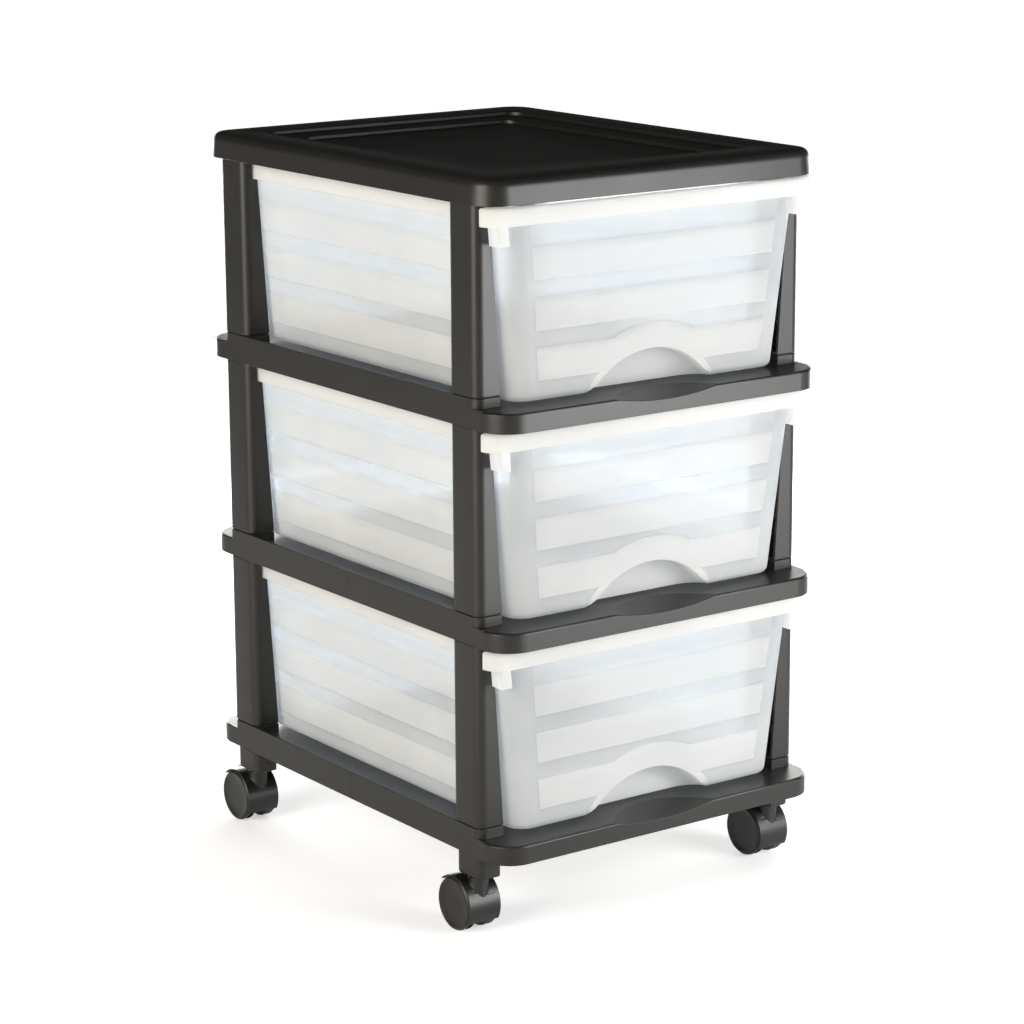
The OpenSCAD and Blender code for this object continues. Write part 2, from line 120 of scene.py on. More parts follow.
class Graph:
    """The nodes of one material or world, made one after the other.

    Attributes:
        tree: The node tree.
        output: Its output node.
    """

    def __init__(self, owner: bpy.types.ID, output: str = "ShaderNodeOutputMaterial") -> None:
        """Empties the owner's node tree and adds its output node."""
        owner.use_nodes = True
        self.tree = owner.node_tree
        self.tree.nodes.clear()
        self.output = self.add(output)

    def add(self, kind: str, inputs: dict | None = None, **settings) -> Node:
        """Adds a node, sets its properties, and fills or links its inputs.

        Args:
            kind: Blender's name of the node's type.
            inputs: Input name or number to a value, or to the output socket that feeds it.
            settings: Properties of the node itself.

        Returns:
            The new node.
        """
        node = self.tree.nodes.new(kind)
        for name, value in settings.items():
            setattr(node, name, value)
        for name, value in (inputs or {}).items():
            if isinstance(value, Socket):
                self.tree.links.new(value, node.inputs[name])
            else:
                node.inputs[name].default_value = value
        return node

    def place(self) -> Socket:
        """Adds the object's coordinates, in metres."""
        return self.add("ShaderNodeTexCoord").outputs["Object"]

    def noise(self, place: Socket, size: float, detail: float, roughness: float = 0.5) -> Socket:
        """Adds noise from 0 to 1 whose coarsest spots lie size mm apart."""
        inputs = {"Vector": place, "Scale": 1 / (size * MM), "Detail": detail, "Roughness": roughness}
        return self.add("ShaderNodeTexNoise", inputs).outputs["Fac"]

    def ranged(self, value: Socket, low: float, high: float, start=0.0, end=1.0, **settings) -> Socket:
        """Maps a value that runs from start to end onto low to high."""
        inputs = {"Value": value, "From Min": start, "From Max": end, "To Min": low, "To Max": high}
        return self.add("ShaderNodeMapRange", inputs, **settings).outputs["Result"]

    def math(self, operation: str, first: Socket, second: Socket | float) -> Socket:
        """Adds a calculation with two values, by Blender's name of it."""
        return self.add("ShaderNodeMath", {0: first, 1: second}, operation=operation).outputs["Value"]

    def bump(self, height: Socket, depth: float, strength: float) -> Socket:
        """Adds a relief of depth mm."""
        inputs = {"Height": height, "Distance": depth * MM, "Strength": strength}
        return self.add("ShaderNodeBump", inputs).outputs["Normal"]

    def seen(self, mirrored: float = 0.0) -> Socket:
        """Adds 1 for the camera and for light through walls, mirrored for reflections, and 0 elsewhere."""
        path = self.add("ShaderNodeLightPath").outputs
        seen = self.math("MAXIMUM", path["Is Camera Ray"], path["Is Transmission Ray"])
        if mirrored:
            seen = self.math("MAXIMUM", seen, self.math("MULTIPLY", path["Is Glossy Ray"], mirrored))
        return seen

    def mixed(self, share: Socket | float, first: Node, second: Node) -> Node:
        """Adds a mix of two shaders, with this share of the second."""
        return self.add("ShaderNodeMixShader", {0: share, 1: first.outputs[0], 2: second.outputs[0]})

    def show(self, shader: Node) -> None:
        """Feeds a shader to the output."""
        self.tree.links.new(shader.outputs[0], self.output.inputs["Surface"])


@dataclass(frozen=True)
class Finish:
    """A material: a kind of finish holds its measures and adds its own nodes."""

    name: str

    def shader(self, graph: Graph) -> Node:
        """Adds the finish's nodes and returns its shader."""
        raise NotImplementedError

    def build(self) -> Material:
        """Builds the material and returns it."""
        material = bpy.data.materials.new(self.name)
        graph = Graph(material)
        graph.show(self.shader(graph))
        return material


@dataclass(frozen=True)
class MouldedPolypropylene(Finish):
    """Black polypropylene, injection moulded in a spark-eroded tool.

    The tool's fine pits give an even matt grain that spreads every highlight into a soft gradient.
    A faint, wide unevenness of tone and shine is what shrinkage leaves on large flat faces.
    """

    name: str = "black_polypropylene"
    light: str = "#272624"
    dark: str = "#1f1e1c"
    roughness: tuple[float, float] = (0.35, 0.43)
    grain: float = 1.5  # mm between pits; the real 0.3 mm grain is too fine to show, so it is coarser
    grain_depth: float = 0.03  # mm
    grain_strength: float = 0.6
    patch: float = 55.0  # mm across a patch of uneven tone
    ior: float = 1.49

    def shader(self, graph: Graph) -> Node:
        """Adds the finish's nodes and returns its shader."""
        place = graph.place()
        patches = graph.noise(place, self.patch, 3.0)
        grain = graph.noise(place, self.grain, 2.0, 0.6)
        colours = {0: patches, 6: linear(self.dark), 7: linear(self.light)}
        inputs = {
            "Base Color": graph.add("ShaderNodeMix", colours, data_type="RGBA").outputs[2],
            "Roughness": graph.ranged(patches, *self.roughness),
            "Normal": graph.bump(grain, self.grain_depth, self.grain_strength),
            "IOR": self.ior,
        }
        return graph.add("ShaderNodeBsdfPrincipled", inputs)


@dataclass(frozen=True)
class FrostedPolypropylene(Finish):
    """Natural, uncoloured polypropylene, moulded with a polished wall and textured bands.

    The polymer is milky: part of the light goes straight through, part comes out of the far side
    spread wide, and the skin is smooth enough for a soft shine. The attribute "frost" is 1 where the
    tool is textured, which hides more of what lies behind, and 0 on the polished gaps. Above 1 it is
    whiter still; on the lower edges of the bands and towards a drawer's underside that extra is
    painted light.
    """

    name: str = "natural_polypropylene"
    milk: str = "#faf9f7"
    through: str = "#eef4fa"
    clear_open: float = 0.54  # share that a polished face lets straight through
    frost_open: float = 0.26
    clear_roughness: float = 0.34
    frost_roughness: float = 0.5
    shine: float = 0.32  # low, because the light that enters the skin softens its highlight
    spread: float = 0.55  # share of the scattered light that comes out of the far side
    cloud: float = 70.0  # mm across a faint flow mark in the wall
    flow: float = 0.04  # how much a flow mark adds to the open share or takes from it
    ior: float = 1.49

    def shader(self, graph: Graph) -> Node:
        """Adds the finish's nodes and returns its shader."""
        frost_and_painted_glow = graph.add("ShaderNodeAttribute", attribute_name="frost_and_painted_glow").outputs["Fac"]
        cloud = graph.noise(graph.place(), self.cloud, 2.0, 0.4)
        flow = graph.ranged(cloud, -self.flow, self.flow, 0.3, 0.7)
        open_share = graph.ranged(frost_and_painted_glow, self.clear_open, self.frost_open, clamp=False)
        inputs = {
            "Base Color": linear(self.milk),
            "Roughness": graph.ranged(frost_and_painted_glow, self.clear_roughness, self.frost_roughness),
            "IOR": self.ior,
            "Specular IOR Level": self.shine,
        }
        skin = graph.add("ShaderNodeBsdfPrincipled", inputs)
        glow = graph.add("ShaderNodeBsdfTranslucent", {"Color": linear(self.milk)})
        clear = graph.add("ShaderNodeBsdfTransparent", {"Color": linear(self.through)})
        milk = graph.mixed(self.spread, skin, glow)
        return graph.mixed(graph.math("ADD", open_share, flow), milk, clear)


@dataclass(frozen=True)
class SatinNylon(Finish):
    """Black nylon of wheels and hoods, moulded in a polished tool: smooth, with a satin highlight.

    Fine drawn polishing marks of the tool run along Z and stretch the highlight a little.
    """

    name: str = "satin_nylon"
    colour: str = "#1c1c1b"
    roughness: tuple[float, float] = (0.32, 0.44)
    mark: float = 1.1  # mm between polishing marks, drawn coarser than the real 0.2 mm so that they show
    mark_depth: float = 0.03  # mm
    mark_strength: float = 0.5
    stretch: float = 0.25  # how close the pattern's spots lie along Z, where 1 is as close as across
    ior: float = 1.53

    def shader(self, graph: Graph) -> Node:
        """Adds the finish's nodes and returns its shader."""
        scale = (1.0, 1.0, self.stretch)
        place = graph.add("ShaderNodeMapping", {"Vector": graph.place(), "Scale": scale}).outputs["Vector"]
        marks = graph.noise(place, self.mark, 3.0)
        inputs = {
            "Base Color": linear(self.colour),
            "Roughness": graph.ranged(marks, *self.roughness),
            "Normal": graph.bump(marks, self.mark_depth, self.mark_strength),
            "IOR": self.ior,
        }
        return graph.add("ShaderNodeBsdfPrincipled", inputs)


@dataclass(frozen=True)
class ZincPlatedSteel(Finish):
    """Turned steel with bright zinc plating: a pale metal with fine turning rings across its axis."""

    name: str = "zinc_plated_steel"
    colour: str = "#b9bcc0"
    roughness: tuple[float, float] = (0.22, 0.36)
    ring: float = 0.5  # mm between turning rings

    def shader(self, graph: Graph) -> Node:
        """Adds the finish's nodes and returns its shader. Bands of a wave lie 0.3 / scale metres apart."""
        wave = {"Vector": graph.place(), "Scale": 0.3 / (self.ring * MM), "Distortion": 1.5}
        rings = graph.add("ShaderNodeTexWave", wave, bands_direction="Z").outputs["Fac"]
        shine = graph.ranged(rings, *self.roughness)
        inputs = {"Base Color": linear(self.colour), "Metallic": 1.0, "Roughness": shine}
        return graph.add("ShaderNodeBsdfPrincipled", inputs)


@dataclass(frozen=True)
class StudioPaper(Finish):
    """White studio paper: it takes a soft shadow, and reads as white wherever no shadow falls.

    The camera and see-through walls pick up a light of its own, which grows to full white away from
    the tower, where the lamps no longer reach. Reflections pick up a part of it, because black
    plastic shows little of a white floor.
    """

    name: str = "studio_paper"
    colour: str = "#f2f2f2"
    near: float = 0.5  # strength of that light round the tower
    far: float = 1.0
    reach: tuple[float, float] = (0.35, 1.1)  # metres from the tower over which it grows
    mirrored: float = 0.25  # part of it that reflections show

    def shader(self, graph: Graph) -> Node:
        """Adds the finish's nodes and returns its shader."""
        away = graph.add("ShaderNodeVectorMath", {0: graph.place()}, operation="LENGTH").outputs["Value"]
        lift = graph.ranged(away, self.near, self.far, *self.reach, interpolation_type="SMOOTHSTEP")
        strength = graph.math("MULTIPLY", graph.seen(self.mirrored), lift)
        paper = graph.add("ShaderNodeBsdfDiffuse", {"Color": linear(self.colour)})
        glow = graph.add("ShaderNodeEmission", {"Color": WHITE, "Strength": strength})
        return graph.add("ShaderNodeAddShader", {0: paper.outputs[0], 1: glow.outputs[0]})


# ---------------------------------------------------------------- surfaces


@dataclass
class Surface:
    """Points and four-sided faces of one closed surface, in millimetres.

    Attributes:
        points: Array (n, 3) of places.
        faces: Array (m, 4) of point numbers.
        frost_and_painted_glow: Array (n,) of the frosting of each point, 0 to 1, and more where a drawer is
            whiter still; at band edges and towards a drawer's underside that includes painted light.
    """

    points: np.ndarray
    faces: np.ndarray
    frost_and_painted_glow: np.ndarray

    @staticmethod
    def from_rings(rings: np.ndarray, frost_and_painted_glow: np.ndarray | float = 0.0, closed: bool = False) -> "Surface":
        """Joins rings of points into a skin.

        Row i, column j is joined to row i + 1 and to column j + 1, and the last column to the first.

        Args:
            rings: Array (rows, columns, 3).
            frost_and_painted_glow: Frosting of every point, or one value for all.
            closed: True joins the last row to the first as well, as on a torus.

        Returns:
            The surface. Rows that shrink to a point are merged later.
        """
        rows, columns = rings.shape[:2]
        steps = rows if closed else rows - 1
        row, column = np.meshgrid(np.arange(steps), np.arange(columns), indexing="ij")
        below, above = row * columns, (row + 1) % rows * columns
        after = (column + 1) % columns
        faces = np.stack([below + column, below + after, above + after, above + column], -1)
        frost_and_glow_values = np.broadcast_to(np.asarray(frost_and_painted_glow, float), (rows, columns)).ravel()
        return Surface(rings.reshape(-1, 3), faces.reshape(-1, 4), frost_and_glow_values.copy())

    def joined(self, other: "Surface") -> "Surface":
        """Returns one surface that holds the points and faces of both."""
        return Surface(
            np.concatenate([self.points, other.points]),
            np.concatenate([self.faces, other.faces + len(self.points)]),
            np.concatenate([self.frost_and_painted_glow, other.frost_and_painted_glow]),
        )

    def moved(self, shift: Sequence[float]) -> "Surface":
        """Returns the surface moved by shift."""
        return Surface(self.points + np.asarray(shift, float), self.faces, self.frost_and_painted_glow)


def put(name: str, data: bpy.types.ID) -> Object:
    """Puts a mesh, lamp or camera into the scene, and returns its object."""
    made = bpy.data.objects.new(name, data)
    bpy.context.scene.collection.objects.link(made)
    return made


def shaded(mesh: bpy.types.Mesh, sharp_angle: float, finish: Material) -> bpy.types.Mesh:
    """Shades a mesh smooth but for its sharp edges, gives it its finish, and returns it."""
    mesh.shade_smooth()
    mesh.set_sharp_from_angle(angle=sharp_angle)
    mesh.materials.append(finish)
    return mesh


def new_object(name: str, surface: Surface, finish: Material, sharp_angle: float = 32.0) -> Object:
    """Puts a surface into the scene.

    Points that coincide are merged, which closes seams and poles, and then faces are turned outwards.

    Args:
        name: Name of the object.
        surface: Its points and faces, in millimetres.
        finish: Its material.
        sharp_angle: Edges sharper than this many degrees stay crisp.

    Returns:
        The new object.
    """
    count = len(surface.faces)
    mesh = bpy.data.meshes.new(name)
    mesh.vertices.add(len(surface.points))
    mesh.vertices.foreach_set("co", (surface.points * MM).astype(np.float32).ravel())
    mesh.loops.add(4 * count)
    mesh.loops.foreach_set("vertex_index", surface.faces.astype(np.int32).ravel())
    mesh.polygons.add(count)
    mesh.polygons.foreach_set("loop_start", np.arange(0, 4 * count, 4, dtype=np.int32))
    mesh.update(calc_edges=True)
    frost_and_painted_glow = mesh.attributes.new("frost_and_painted_glow", "FLOAT", "POINT")
    frost_and_painted_glow.data.foreach_set("value", surface.frost_and_painted_glow.astype(np.float32))
    work = bmesh.new()
    work.from_mesh(mesh)
    bmesh.ops.remove_doubles(work, verts=work.verts, dist=0.002 * MM)
    bmesh.ops.dissolve_degenerate(work, edges=work.edges, dist=0.001 * MM)
    bmesh.ops.recalc_face_normals(work, faces=work.faces)
    work.to_mesh(mesh)
    work.free()
    return put(name, shaded(mesh, math.radians(sharp_angle), finish))


def enlist(piece: Object, body: str, replaces: Sequence[str] = ()) -> Object:
    """Makes an object a piece of the part.

    Args:
        piece: The object.
        body: The body that it rides on.
        replaces: CAD nodes that it stands for.

    Returns:
        The same object.
    """
    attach(piece, body)
    if replaces:
        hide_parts(*replaces)
    LOG.info("%s: %d faces on %s", piece.name, len(piece.data.polygons), body)
    return piece


def mark_edges(work: bmesh.types.BMesh, width: float, brim: float) -> None:
    """Gives every sharp edge its share of the widest rounding.

    The brim is the outer edge of the largest face that looks up, such as the top of a shelf.

    Args:
        work: Mesh to mark.
        width: Width of the rounding of an edge sharper than BEVEL_ANGLE.
        brim: Width of the rounding of the brim, no less than width.
    """
    share = work.edges.layers.float.new("bevel_weight_edge")
    for edge in work.edges:
        if len(edge.link_faces) == 2 and edge.calc_face_angle() > BEVEL_ANGLE:
            edge[share] = width / brim
    if brim > width:
        upper = (face for face in work.faces if face.normal.z > 0.99)
        for edge in max(upper, key=lambda face: face.calc_area()).edges:
            if edge.is_convex and edge.calc_face_angle() > BRIM_ANGLE:
                edge[share] = 1.0


def bevelled_copy(
    node: str,
    name: str,
    finish: Material,
    body: str,
    slot: Slot,
    width: float,
    brim: float = 0.0,
    segments: int = 2,
) -> Object:
    """Makes a copy of a CAD node with softened edges, and lets it stand for the node.

    The copy's loose triangles are merged, its flat faces are joined, and a live bevel rounds every
    edge sharper than BEVEL_ANGLE. Creases between that and CREASE_ANGLE, such as a scoop's outline,
    stay crisp; the facets of the rounds lie below that.

    Args:
        node: The CAD node.
        name: Name of the new piece.
        finish: Its material.
        body: The body that it rides on.
        slot: The record's material slot; not used.
        width: Width of the rounding in millimetres.
        brim: Width of the rounding round the largest upper face, where it is more.
        segments: Facets of the rounding.

    Returns:
        The new object.
    """
    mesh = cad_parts[node].data.copy()
    mesh.name = name
    mesh.materials.clear()
    widest = max(width, brim)
    work = bmesh.new()
    work.from_mesh(mesh)
    bmesh.ops.remove_doubles(work, verts=work.verts, dist=0.005 * MM)
    flat = math.radians(0.5)
    bmesh.ops.dissolve_limit(
        work, angle_limit=flat, verts=work.verts, edges=work.edges, use_dissolve_boundaries=False
    )
    mark_edges(work, width, widest)
    work.to_mesh(mesh)
    work.free()
    piece = put(name, shaded(mesh, CREASE_ANGLE, finish))
    bevel = piece.modifiers.new("soft edges", "BEVEL")
    bevel.width = widest * MM
    bevel.segments = segments
    bevel.limit_method = "WEIGHT"
    bevel.use_clamp_overlap = False
    bevel.harden_normals = True
    return enlist(piece, body, [node])


def box_mm(node: str) -> tuple[np.ndarray, np.ndarray]:
    """Returns the lowest and highest corner of a CAD node in millimetres."""
    low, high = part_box(node)
    return np.array(low) / MM, np.array(high) / MM


def smooth_step(share: np.ndarray) -> np.ndarray:
    """Turns 0 to 1 into a soft step: share^2 * (3 - 2 * share)."""
    return share * share * (3 - 2 * share)


def lifted(plan: np.ndarray, height: np.ndarray | float) -> np.ndarray:
    """Adds heights to places (..., 2) seen from above."""
    height = np.broadcast_to(np.asarray(height, float)[..., None], (*plan.shape[:-1], 1))
    return np.concatenate([plan, height], -1)


# Directions round a rounded rectangle seen from above: along each edge, and out of it
EDGES = (((1, 0), (0, -1)), ((0, 1), (1, 0)), ((-1, 0), (0, 1)), ((0, -1), (-1, 0)))


@dataclass
class Columns:
    """Columns of rings that follow a rounded rectangle, starting on its front edge.

    A point of a ring is centre + share * (half size - margin) + knee * (margin - radius)
    + normal * radius + fixed. The columns stay in step from ring to ring while sizes change.

    Attributes:
        share: Array (n, 2), part of the inner half size.
        knee: Array (n, 2), part of the margin between the inner part and the corner's arc.
        normal: Array (n, 2), outward direction.
        fixed: Array (n, 2), lengths that don't grow with the ring.
        middle: Array (n,), True on the inner part of each edge.
        edge: Array (n,), number of the edge: 0 front, 1 right, 2 rear, 3 left, and at the corner
            after each of them -1, -2, -3 and -4.
    """

    share: np.ndarray
    knee: np.ndarray
    normal: np.ndarray
    fixed: np.ndarray
    middle: np.ndarray
    edge: np.ndarray

    @staticmethod
    def make(
        steps: Sequence[np.ndarray],
        arc_steps: int,
        margin_steps: np.ndarray = np.empty(0),
        fixed_front: np.ndarray = np.empty(0),
    ) -> "Columns":
        """Lays out the columns.

        Args:
            steps: For each edge, the places of its inner columns from -1 to 1.
            arc_steps: Facets of each corner.
            margin_steps: Places of the columns in each margin, from 0 at the inner part to 1.
            fixed_front: Millimetres from the centre of extra columns in the middle of the front.

        Returns:
            The columns.
        """
        angles = np.linspace(0, np.pi / 2, arc_steps + 1)[:, None]
        parts: list[tuple] = []
        for number, (along, out) in enumerate(np.array(EDGES, float)):
            inner = np.asarray(steps[number], float)
            left, right = np.split(inner, [len(inner) // 2])
            lengths = fixed_front if number == 0 else np.empty(0)
            reach = lengths[-1] if len(lengths) else 0.0
            end = np.ones(len(margin_steps))
            share = np.concatenate([-end, left, 0 * lengths, right, end])[:, None]
            level = np.zeros(len(inner) + len(lengths))
            knee = np.concatenate([-margin_steps[::-1], level, margin_steps])[:, None]
            fixed = [0 * end, -reach * (1 + left), lengths, reach * (1 - right), 0 * end]
            fixed = np.concatenate(fixed)[:, None] * along
            middle = knee[:, 0] == 0
            edge = np.full(len(share), number)
            share, knee, outward = share * along + out, knee * along + out, 0 * share + out
            parts.append((share, knee, outward, fixed, middle, edge))
            corner = 0 * angles + along + out
            turn = np.cos(angles) * out + np.sin(angles) * along
            edge = np.full(len(angles), -1 - number)
            parts.append((corner, corner, turn, 0 * corner, edge == 0, edge))
        return Columns(*(np.concatenate(group) for group in zip(*parts)))

    def place(
        self, half: np.ndarray, radius: np.ndarray, centre: Sequence[float], margin: np.ndarray | float
    ) -> np.ndarray:
        """Places points by the formula above, from arrays that fit an array (..., columns, 2)."""
        return (
            np.asarray(centre, float)
            + self.share * (half - margin)
            + self.knee * (margin - radius)
            + self.normal * radius
            + self.fixed
        )

    def ring(
        self, half: np.ndarray, radius: np.ndarray, centre: Sequence[float], margin: float | None = None
    ) -> np.ndarray:
        """Places rings by the formula above.

        Args:
            half: Array (..., 2) of half sizes.
            radius: Array (...) of corner radii.
            centre: Centre of the rings.
            margin: Width from an edge's end to its inner part, or None where it is the radius.

        Returns:
            Array (..., columns, 2).
        """
        half = np.asarray(half, float)[..., None, :]
        radius = np.asarray(radius, float)[..., None, None]
        return self.place(half, radius, centre, radius if margin is None else margin)


def plain_columns(arc_steps: int = 12) -> Columns:
    """Returns columns with corners of arc_steps facets and only a few points along each edge."""
    return Columns.make([np.linspace(-1, 1, 5)[1:-1]] * 4, arc_steps)


def stack(
    columns: Columns, rows: Sequence[tuple[float, float, float, float]], centre: Sequence[float]
) -> Surface:
    """Makes a closed skin of rounded rectangles.

    Args:
        columns: Columns of the rings.
        rows: Half width, half depth, corner radius and height of each ring, from pole to pole.
        centre: Centre seen from above.

    Returns:
        The surface.
    """
    table = np.asarray(rows, float)
    plan = columns.ring(table[:, :2], table[:, 2], centre)
    return Surface.from_rings(lifted(plan, table[:, 3, None]))


def round_block(
    half: Sequence[float], centre: Sequence[float], low: float, high: float, radius: float, edge: float
) -> Surface:
    """Makes an upright block with rounded corners and softly rounded ends.

    Args:
        half: Half width and half depth.
        centre: Centre seen from above.
        low: Lower end.
        high: Upper end.
        radius: Radius of the upright corners.
        edge: Radius of the edges at both ends.

    Returns:
        The surface.
    """
    turn = np.linspace(0, np.pi / 2, 5)
    inset = edge * (1 - np.sin(turn))
    rise = edge * (1 - np.cos(turn))
    lower = [(half[0] - i, half[1] - i, max(radius - i, 0.05), low + r) for i, r in zip(inset, rise)]
    upper = [(x, y, r, high + low - z) for x, y, r, z in reversed(lower)]
    pole = (1e-4, 1e-4, 1e-4)
    return stack(plain_columns(6), [(*pole, low), *lower, *upper, (*pole, high)], centre)


# ---------------------------------------------------------------- drawers


@dataclass
class Drawer:
    """A translucent drawer: tapered body, raised bands, arched finger pull, rim and stop lugs.

    The whole moulding is one closed skin. Its rows run from the middle of the underside out to the
    bottom edge, up the outer wall, round the rim, down the inner wall and to the middle of the floor.
    """

    tier: Tier
    wall: float = 2.0
    rim_h: float = 12.6
    rim_out: float = 4.7
    side_draft: float = 11.8
    end_draft: float = 7.7
    body_r: float = 16.0
    foot_r: float = 4.0
    flange_r: float = 14.0
    flange_in: float = 9.6  # from the flange's end in to the side rim
    stop_gap: float = 3.0  # from the flange back to the front posts
    front_gap: float = 3.0  # from the body's front to the rim's front
    band_low: float = 14.8
    band_h: float = 22.4
    band_pitch: float = 35.6
    band_out: float = 0.8
    margin: float = 21.0  # from the side of the body to a band's end
    ledge: float = 0.7  # run of a band's edge
    pull_w: float = 105.0
    pull_h: float = 27.0
    pull_d: float = 15.5
    pull_roll: float = 17.0
    roll_edge: float = 1.6  # run of the soft edge between the border and the pull
    painted_glint: float = 1.7  # painted highlight: whiteness of a band's lower edge, for the light that the moulded edge gathers
    rim_milk: float = 1.35
    border_milk: float = 1.35  # whiteness of the border over the pull
    pull_milk: float = 0.75
    lug_milk: float = 0.9
    inside_milk: float = 0.15
    floor_milk: float = 0.3
    painted_foot_glow: float = 0.75  # painted glow: whiteness added towards the underside, where the wall runs into the floor, for light that the wall carries down to its foot
    foot_reach: float = 62.0  # height over which it fades
    bell_top: float = 18.0  # width of the border over the arch
    bell_foot: float = 5.0  # width of the border beside its feet
    flare: float = 5.0  # how far the arch's feet lean out
    flare_h: float = 9.0
    stop: tuple[float, float, float] = (9.5, 12.5, 14.0)  # width, depth and drop of a stop lug
    stop_out: float = 2.3  # how far the stop lugs stand out past the side rim
    fillet: float = 3.0  # round the floor, inside
    pull_cover: float = 14.0  # from the pull's top up to where the inner wall's rows are level
    step_out: float = 2.2  # radius of the flange's inner corner at the posts
    step_in: float = 1.2  # radius of the hollow corner beside it
    roll_rows: np.ndarray = field(init=False)  # shares of the pull's height at its rows
    columns: Columns = field(init=False)
    low: np.ndarray = field(init=False)
    high: np.ndarray = field(init=False)

    def __post_init__(self) -> None:
        """Reads the drawer's place from the frame and lays out the columns."""
        self.low, self.high = box_mm(f"{self.tier.value}_drawer")
        post_low, _ = box_mm(f"{self.tier.value}_post_front_left")
        self.flange_depth = post_low[1] - self.stop_gap - self.low[1]
        self.height = self.high[2] - self.low[2]
        self.body_h = self.height - self.rim_h
        self.rim_half_w = self.high[0] - self.flange_in
        self.top_half = np.array([self.rim_half_w - self.rim_out, 0.0])
        front, rear = self.low[1] + self.front_gap, self.high[1] - self.rim_out
        self.top_half[1] = (rear - front) / 2
        self.centre = np.array([0.0, (rear + front) / 2])
        self.foot_front = front + self.end_draft
        drops = np.array([20, 16, 12.5, 9.5, 7, 5, 3.6, 2.6, 1.9, 1.4, 1.0, 0.7, 0.4, 0.0])
        self.roll_rows = drops / (self.pull_h - self.foot_r)
        self.arch_r = ((self.pull_w / 2) ** 2 + self.pull_h**2) / (2 * self.pull_h)
        reach = self.pull_w / 2 + 10
        fixed = np.linspace(-reach, reach, 125)
        front_steps = np.array([-1, -0.66, -0.33, 0.33, 0.66, 1])
        side_steps = np.linspace(-1, 1, 9)
        gap = self.ledge / (self.margin - self.body_r)
        margins = np.concatenate([[gap], np.linspace(gap, 0.96, 8)[1:]])
        self.columns = Columns.make([front_steps, side_steps, side_steps, side_steps], 10, margins, fixed)

    # -- shape of the wall

    def half_at(self, z: np.ndarray) -> np.ndarray:
        """Half width and half depth of the body at height z above its underside, by its drafts."""
        rise = 1 - np.clip(z / self.body_h, 0, 1)
        return self.top_half - rise[..., None] * np.array([self.side_draft, self.end_draft])

    def lean(self, z: np.ndarray) -> np.ndarray:
        """How far the arch's sides lean out at height z: flare * (1 - z / flare_h)^2."""
        return self.flare * (1 - np.clip(z / self.flare_h, 0, 1)) ** 2

    def arch(self, x: np.ndarray, grow: float = 0.0) -> np.ndarray:
        """Height of the pull's edge at x: a circle through its feet and its top, which lean out."""
        z = np.linspace(self.pull_h + grow, 0, 200)
        across = np.sqrt(np.clip((self.arch_r + grow) ** 2 - (z - self.pull_h + self.arch_r) ** 2, 0, None))
        return np.interp(np.abs(x), across + self.lean(z), z, right=-50)

    def within(self, x: np.ndarray, z: np.ndarray, grow: float = 0.0) -> np.ndarray:
        """Distance inside the pull's edge, measured towards the circle's centre; negative outside."""
        across = np.maximum(np.abs(x) - self.lean(z), 0)
        return self.arch_r + grow - np.hypot(across, z - self.pull_h + self.arch_r)

    def bell(self, x: np.ndarray) -> np.ndarray:
        """Height of the border's outer edge at x.

        In polar form about the arch's centre it lies outside the arch by bell_top at the top, and by
        bell_foot past about 41 degrees, with a smooth step between.
        """
        turn = np.radians(np.linspace(0, 64, 321))
        step = smooth_step(np.clip((np.degrees(turn) - 22) / 20, 0, 1))
        radius = self.arch_r + self.bell_top + (self.bell_foot - self.bell_top) * step
        across, up = radius * np.sin(turn), self.pull_h - self.arch_r + radius * np.cos(turn)
        order = np.argsort(across)
        return np.interp(np.abs(x), across[order], up[order], right=-50)

    def recess(self, x: np.ndarray, z: np.ndarray, grow: float = 0.0) -> np.ndarray:
        """Depth of the finger pull behind the foot of the front.

        A quarter of an ellipse over pull_roll from the edge inwards, then flat: with s the distance
        inside the edge, depth = pull_d * sqrt(1 - (1 - s / roll)^2).
        """
        share = np.clip(self.within(x, z, grow) / (self.pull_roll + grow), 0, 1)
        return (self.pull_d + grow) * np.sqrt(1 - (1 - share) ** 2)

    def knots(self, x: np.ndarray, front: np.ndarray) -> list[tuple]:
        """Levels of the outer wall's rows, for every column.

        On the front they follow the arch, the border's flank and the border's top; elsewhere they are
        level. Each edge of a raised area has two rows, which make its ledge, and the lower ledges carry a
        painted highlight: their frost is raised for the light that the moulded edge gathers.

        Args:
            x: Place of each column across the front.
            front: True for columns on the front.

        Returns:
            For each knot the height, raise and frost of every column, and the rows up to it, or -1
            where roll_rows places them.
        """
        one, none = np.ones_like(x), np.zeros_like(x)
        ledge, painted_glint = self.ledge, self.painted_glint
        arch = np.where(front, np.maximum(self.arch(x), self.foot_r), self.foot_r)
        bell = np.where(front, self.bell(x), -50.0)
        low_edge = np.maximum(arch, self.band_low)
        flank = np.clip(bell, arch, low_edge)
        gap = low_edge - flank
        slope = np.minimum(ledge, 0.3 * gap)
        strip = 1 - np.clip(gap / 1.5, 0, 1)
        upper = np.maximum(self.band_low + self.band_h, bell)
        near = np.where(front, np.clip((bell - self.foot_r) / 2, 0, 1), 0.0)
        foot = near * np.clip((flank - 2) / 9, 0, 1)
